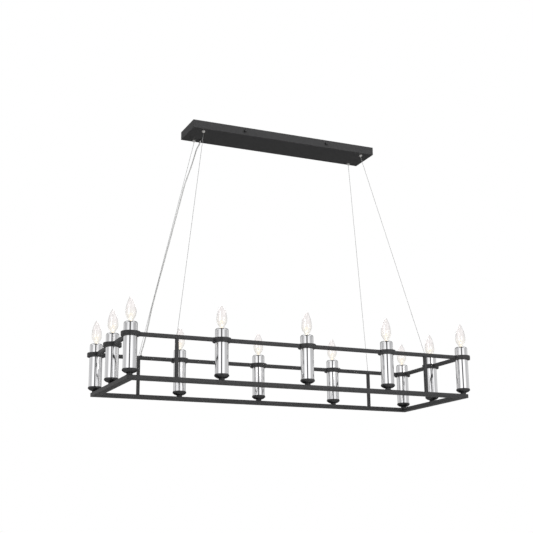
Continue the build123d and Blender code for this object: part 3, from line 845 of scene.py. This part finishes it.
def add_light_fittings():
    """Rings, dishes, necks, stems, sockets and candle tubes: one of each at each light."""
    tree = copies_tree()
    fittings = [
        ("ring_collars", ring_profile(), TURN_STEPS, POWDER_COAT, "black_paint", "rings", SHARP_TURNED),
        ("dish_bobeches", dish_profile(), TURN_STEPS, POWDER_COAT, "black_paint", "dishes", SHARP_TURNED),
        ("neck_spacers", neck_profile(), TURN_STEPS, POWDER_COAT, "black_paint", "necks", SHARP_TURNED),
        ("stem_pipes", stem_profile(), SMALL_TURN_STEPS, STEM_STEEL, "stem_steel", "stems", SHARP_THREAD),
        ("socket_bodies", socket_profile(), SMALL_TURN_STEPS, PHENOLIC, "socket_plastic", "sockets",
         SHARP_TURNED),
    ]
    for name, profile, steps, finish, slot, node, smooth in fittings:
        mesh = at_each_light(turned(profile, steps), finish, tree)
        new_piece(name, mesh, None, nodes=[node], smooth=smooth)
    for light in LIGHTS:
        mesh = turned(tube_profile())
        mesh.transform(Matrix.Translation(foot(light)))
        new_piece("candle_sleeve_" + light, mesh, CHROME, nodes=["candle_tube_" + light],
                  smooth=SHARP_PLATED)


# ------------------------------------------------------------------ bulbs

def glass_flank(skin, steps=18):
    """Half profile of the glass from its foot to its tip, drawn in by a skin."""
    neck = GLASS_NECK_R - skin
    wide = GLASS_R - skin
    belly = GLASS_BELLY_R - skin
    tip = GLASS_TIP_R - skin
    wide_z = GLASS_FOOT + GLASS_WIDE
    drop = wide - neck
    both = (drop**2 + GLASS_WIDE**2) / (2 * drop)
    hollow = both - belly
    turn = math.degrees(math.asin(GLASS_WIDE / both))
    ball_z = GLASS_FOOT + GLASS_LENGTH - GLASS_TIP_R
    rise = ball_z - wide_z
    long_r = (wide**2 + rise**2 - tip**2) / (2 * (wide - tip))
    end = math.degrees(math.asin(rise / (long_r - tip)))
    points = arc(neck + hollow, GLASS_FOOT, hollow, 180, 180 - turn, steps)
    points += arc(wide - belly, wide_z, belly, -turn, 0, steps)[1:]
    points += arc(wide - long_r, wide_z, long_r, 0, end, 2 * steps)[1:]
    points += arc(0, ball_z, tip, end, 90, 8)[1:]
    points[-1] = (0, points[-1][1])
    return points


def glass_mesh():
    """The hollow glass, open at its foot inside the cap."""
    low = GLASS_FOOT - GLASS_TAIL
    outer = [(GLASS_NECK_R, low)] + glass_flank(0)
    inner = [(GLASS_NECK_R - GLASS_WALL, low)] + glass_flank(GLASS_WALL)
    return turned(outer + inner[::-1], TURN_STEPS)


def cap_mesh():
    """Screw shell with rolled threads, its insulator and the contact."""
    top = GLASS_FOOT
    low = top - CAP_LENGTH
    floor = top - 4.1 * MM
    points = [(CAP_INNER_R, top - 0.3 * MM), (5.6 * MM, top), (CAP_R - 0.15 * MM, top)]
    for turn in range(CAP_THREADS):
        z = top - 2.0 * MM - turn * CAP_THREAD_PITCH
        points += arc(CAP_R - CAP_THREAD_ROUND, z - CAP_THREAD_PITCH / 2, CAP_THREAD_ROUND, 60, -60, 4)
        points.append((CAP_R - 0.55 * MM, z - CAP_THREAD_PITCH))
    points += [(5.2 * MM, low), (3.6 * MM, low - 1.6 * MM), (2.2 * MM, low - 3.0 * MM)]
    points += arc(0, low - 2.7 * MM, 2.0 * MM, -10, -64, 5)
    points += [(0, low - 4.5 * MM), (0, floor), (CAP_INNER_R, floor)]
    return turned(points, SMALL_TURN_STEPS)


def wire_mesh(points, radius, sides=8, ring=False):
    """A thin wire through a few points, its ends joined where it is a ring."""
    curve = bpy.data.curves.new("wire", "CURVE")
    curve.dimensions = "3D"
    spline = curve.splines.new("POLY")
    spline.points.add(len(points) - 1)
    for control, point in zip(spline.points, points):
        control.co = (*point, 1)
    spline.use_cyclic_u = ring
    curve.bevel_depth = radius
    curve.bevel_resolution = (sides - 4) // 2
    curve.use_fill_caps = not ring
    host = bpy.data.objects.new("wire", curve)
    mesh = mesh_shown(host)
    bpy.data.objects.remove(host)
    return mesh


def filament_mesh():
    """Two leads and the coiled wire that hangs between them."""
    press = GLASS_FOOT + PRESS_HEIGHT - 0.2 * MM
    top = GLASS_FOOT + FILAMENT_HEIGHT
    half = FILAMENT_SPAN / 2
    wires = []
    for side in (-1, 1):
        near = side * LEAD_WIRE_FROM_AXIS
        bends = [(near, 0, press - 6 * MM), (near, 0, press), (side * half, 0, top)]
        wires.append(wire_mesh(bends, LEAD_WIRE_R))
    coil = []
    for step in range(COIL_TURNS * COIL_STEPS + 1):
        share = step / (COIL_TURNS * COIL_STEPS)
        angle = 2 * math.pi * step / COIL_STEPS
        sag = 4 * share * (1 - share) * FILAMENT_SAG
        coil.append((-half + 2 * half * share, COIL_R * math.cos(angle),
                     top - sag + COIL_R * math.sin(angle)))
    wires.append(wire_mesh(coil, COIL_WIRE_R, sides=6))
    return joined(wires)


def mount_mesh():
    """Glass mount that stands in the neck and pinches the leads."""
    low = GLASS_FOOT - GLASS_TAIL
    press = GLASS_FOOT + PRESS_HEIGHT
    points = [(0, low), (MOUNT_R, low), (MOUNT_R - 0.2 * MM, low + 2 * MM)]
    points += bowed((MOUNT_R - 0.6 * MM, low + 5 * MM), (PRESS_R, press - 4 * MM), -0.6 * MM, 5)
    points += [(PRESS_R, press - 0.8 * MM), (PRESS_R - 0.6 * MM, press), (0, press)]
    return turned(points, SMALL_TURN_STEPS, closed=False)


def add_bulbs():
    """Clear torpedo bulbs, each on its own body."""
    parts = [
        ("glass", glass_mesh(), GLASS, "clear_glass", SHARP_WIRE),
        ("cap", cap_mesh(), BULB_CAP, "satin_nickel", SHARP_PLATED),
        ("filament", filament_mesh(), TUNGSTEN, "satin_nickel", SHARP_WIRE),
        ("mount", mount_mesh(), GLASS, "clear_glass", SHARP_PLATED),
    ]
    for light in LIGHTS:
        body = "bulb_" + light
        shift = Matrix.Translation(foot(light))
        for part, mesh, finish, slot, smooth in parts:
            copy = mesh.copy()
            copy.transform(shift)
            new_piece("bulb_%s_%s" % (part, light), copy, finish, body=body,
                      nodes=["bulb_" + light], smooth=smooth)


# ------------------------------------------------------------------ grips and nodes left in shape

def add_grips():
    """Turned bodies of the cable grips."""
    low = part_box("grip_bodies")[0].z
    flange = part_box("canopy")[0].z
    ease = 0.72 * MM
    small = 0.3 * MM
    mouth_top = low + GRIP_MOUTH_DEPTH
    profile = [(GRIP_MOUTH_R, mouth_top), (GRIP_MOUTH_R, low)]
    profile += arc(GRIP_R - ease, low + ease, ease, -90, 0, 4)
    for groove in (2.0 * MM, 2.7 * MM):
        profile += [(GRIP_R, low + groove), (GRIP_R - 0.25 * MM, low + groove + 0.2 * MM),
                    (GRIP_R, low + groove + 0.4 * MM)]
    profile += arc(GRIP_R - small, flange - small, small, 0, 90, 3)
    profile += [(GRIP_BARREL_R, flange), (GRIP_BARREL_R, GRIP_BARREL_TOP - 0.5 * MM)]
    profile += [(GRIP_BARREL_R - 0.5 * MM, GRIP_BARREL_TOP), (GRIP_BORE_R, GRIP_BARREL_TOP)]
    profile += [(GRIP_BORE_R, mouth_top)]
    grip = turned(profile, SMALL_TURN_STEPS)
    bodies = []
    for x_side in (-1, 1):
        for y_side in (-1, 1):
            copy = grip.copy()
            copy.transform(Matrix.Translation((x_side * GRIP[0] * MM, y_side * GRIP[1] * MM, 0)))
            bodies.append(copy)
    new_piece("grip_housings", joined(bodies), NICKEL, nodes=["grip_bodies"],
              smooth=SHARP_TURNED)


def dress_nodes():
    """Finishes for the nodes that keep their own shape."""
    finishes = {
        "mounting_bracket": ZINC,
        "ground_screw": GREEN_SCREW,
        "canopy": POWDER_COAT,
        "grip_nuts": NICKEL,
        "cable_stops": NICKEL,
        "cord_bushings": NYLON,
        "supply_leads": LEADS,
        "frame_wiring": LEADS,
    }
    for corner in CORNERS:
        finishes["thumb_screw_" + corner] = POWDER_COAT
        finishes["release_sleeve_" + corner] = NICKEL
    for node, finish in finishes.items():
        mesh = frame["nodes"][node].data
        mesh.materials.clear()
        mesh.materials.append(finish)


# ------------------------------------------------------------------ studio

FLOOR_LEVEL = -2.4
FLOOR_SIZE = 5.0
# What gloss sees round the horizon: (angle from the photographer's side in degrees, level).
PANELS = [(0, 0.12), (7, 0.12), (16, 1.5), (42, 1.5), (54, 0.92), (70, 0.71), (95, 0.67), (115, 0.93),
          (128, 0.85), (142, 0.36), (180, 0.28)]
# How much of it is left at each height: (sine of the height over the horizon, share).
HEIGHTS = [(-1.0, 0.25), (-0.45, 0.3), (-0.26, 0.5), (-0.06, 1.0), (0.22, 1.0), (0.36, 0.5), (0.60, 0.12),
           (1.0, 0.12)]
# Soft boxes up on both sides: the same two lists.
HIGH_PANELS = [(0, 0.0), (30, 0.2), (50, 2.6), (85, 2.6), (110, 0.2), (180, 0.1)]
HIGH_HEIGHTS = [(-1.0, 0.0), (0.42, 0.0), (0.50, 1.0), (0.62, 1.0), (0.70, 0.0), (1.0, 0.0)]
IN_GLASS = 0.8                 # what a glint inside the glass sees
FILL_ABOVE = 0.40
FILL_BELOW = 0.12
# What other rays see, from below to above.
FILL = [(-1.0, FILL_BELOW), (-0.2, FILL_BELOW), (0.2, FILL_ABOVE), (1.0, FILL_ABOVE)]
FLOOR_WHITE = (0.6, 2.3)       # metres from the middle, between which the floor fades to white
# Name, place, where it points, size in metres and power in watts.
LAMPS = [
    ("lamp_front", (0.5, -2.0, -0.75), (0.1, 0, -0.85), 1.2, 22),
    ("lamp_over", (-0.8, -1.2, 2.2), (0, 0, -0.6), 2.0, 60),
    ("lamp_back", (0.9, 2.6, 0.9), (0, 0, -0.6), 1.6, 30),
]


def add_floor():
    """A plain pale floor, out of the photograph's view, that fades to white and is clear from below."""
    mesh = bpy.data.meshes.new("floor")
    half = FLOOR_SIZE / 2
    corners = [(-half, -half), (half, -half), (half, half), (-half, half)]
    mesh.from_pydata([(x, y, FLOOR_LEVEL) for x, y in corners], [], [(0, 1, 2, 3)])
    floor = bpy.data.objects.new("floor", mesh)
    bpy.context.scene.collection.objects.link(floor)
    material, tree, surface = new_material("pale_floor")
    nodes = tree.nodes
    feed(tree, surface, {"Base Color": (0.8, 0.8, 0.79, 1), "Roughness": 0.7})
    place = nodes.new("ShaderNodeTexCoord")
    level = add_node(tree, "ShaderNodeVectorMath", {0: place.outputs["Object"], 1: (1, 1, 0)},
                     operation="MULTIPLY")
    distance = add_node(tree, "ShaderNodeVectorMath", {0: level.outputs[0]}, operation="LENGTH")
    fade = in_range(tree, distance.outputs["Value"], *FLOOR_WHITE, start=0.5)
    seen = nodes.new("ShaderNodeLightPath")
    side = nodes.new("ShaderNodeNewGeometry")
    white = nodes.new("ShaderNodeEmission")
    clear = nodes.new("ShaderNodeBsdfTransparent")
    paler = mixed(tree, calculate(tree, "MULTIPLY", fade, seen.outputs["Is Camera Ray"]),
                  nodes["Principled BSDF"].outputs[0], white.outputs[0])
    one_way = mixed(tree, side.outputs["Backfacing"], paler, clear.outputs[0])
    tree.links.new(one_way, nodes["Material Output"].inputs["Surface"])
    mesh.materials.append(material)


def level_by(tree, value, stops):
    """A level that follows straight runs between stops of (value, level)."""
    low, high = stops[0][0], stops[-1][0]
    greys = [((place - low) / (high - low), (level, level, level)) for place, level in stops]
    return ramp_of(tree, in_range(tree, value, low, high), greys)


def background(tree, strength):
    """A white background shader of a strength."""
    return add_node(tree, "ShaderNodeBackground", {"Color": (1, 1, 1, 1), "Strength": strength}).outputs[0]


def studio_world():
    """White to the eye; to gloss, a studio with bright panels and a dark slit between them."""
    world = bpy.data.worlds.new("studio")
    bpy.context.scene.world = world
    world.use_nodes = True
    tree = world.node_tree
    nodes = tree.nodes
    nodes.clear()

    def step(operation, *values):
        return calculate(tree, operation, *values)

    direction = nodes.new("ShaderNodeTexCoord")
    x, y, z = add_node(tree, "ShaderNodeSeparateXYZ", {0: direction.outputs["Generated"]}).outputs
    # the angle from the side on which the photographer stands, 0 to 180 degrees
    stand = CAMERA_YAW + math.pi
    facing = step("ADD", step("MULTIPLY", x, math.sin(stand)), step("MULTIPLY", y, math.cos(stand)))
    level = step("SQRT", step("SUBTRACT", 1.0, step("MULTIPLY", z, z)))
    share = step("MINIMUM", step("DIVIDE", facing, level), 1.0)
    away = step("ARCCOSINE", step("MAXIMUM", share, -1.0))
    degrees = step("MULTIPLY", away, 180 / math.pi)
    low_level = step("MULTIPLY", level_by(tree, degrees, PANELS), level_by(tree, z, HEIGHTS))
    high_level = step("MULTIPLY", level_by(tree, degrees, HIGH_PANELS), level_by(tree, z, HIGH_HEIGHTS))
    open_level = step("ADD", low_level, high_level)
    # once inside glass, gloss sees one calm level instead
    ray = nodes.new("ShaderNodeLightPath").outputs
    in_glass = step("MINIMUM", ray["Transmission Depth"], 1.0)
    outside = step("MULTIPLY", open_level, step("SUBTRACT", 1.0, in_glass))
    gloss_level = step("ADD", step("MULTIPLY", in_glass, IN_GLASS), outside)
    unseen = mixed(tree, ray["Is Glossy Ray"], background(tree, level_by(tree, z, FILL)),
                   background(tree, gloss_level))
    white_seen = step("MAXIMUM", ray["Is Camera Ray"], ray["Is Transmission Ray"])
    whole = mixed(tree, white_seen, unseen, background(tree, 1.0))
    tree.links.new(whole, nodes.new("ShaderNodeOutputWorld").inputs["Surface"])


def add_lamp(name, place, aim, size, power):
    """A soft square lamp that points at a place; gloss sees the studio in its stead."""
    data = bpy.data.lights.new(name, "AREA")
    data.size = size
    data.energy = power
    lamp = bpy.data.objects.new(name, data)
    look = (Vector(aim) - Vector(place)).to_track_quat("-Z", "Y")
    lamp.matrix_world = Matrix.Translation(place) @ look.to_matrix().to_4x4()
    lamp.visible_camera = False
    lamp.visible_glossy = False
    bpy.context.scene.collection.objects.link(lamp)


def add_studio():
    """Floor, soft lamps and a plain world."""
    add_floor()
    studio_world()
    for name, place, aim, size, power in LAMPS:
        add_lamp(name, place, aim, size, power)
    bpy.context.scene.view_settings.view_transform = "Standard"


# ------------------------------------------------------------------ making it

add_camera()
add_cables()
add_power_cord()
add_rails()
add_light_fittings()
add_bulbs()
add_grips()
dress_nodes()
add_studio()
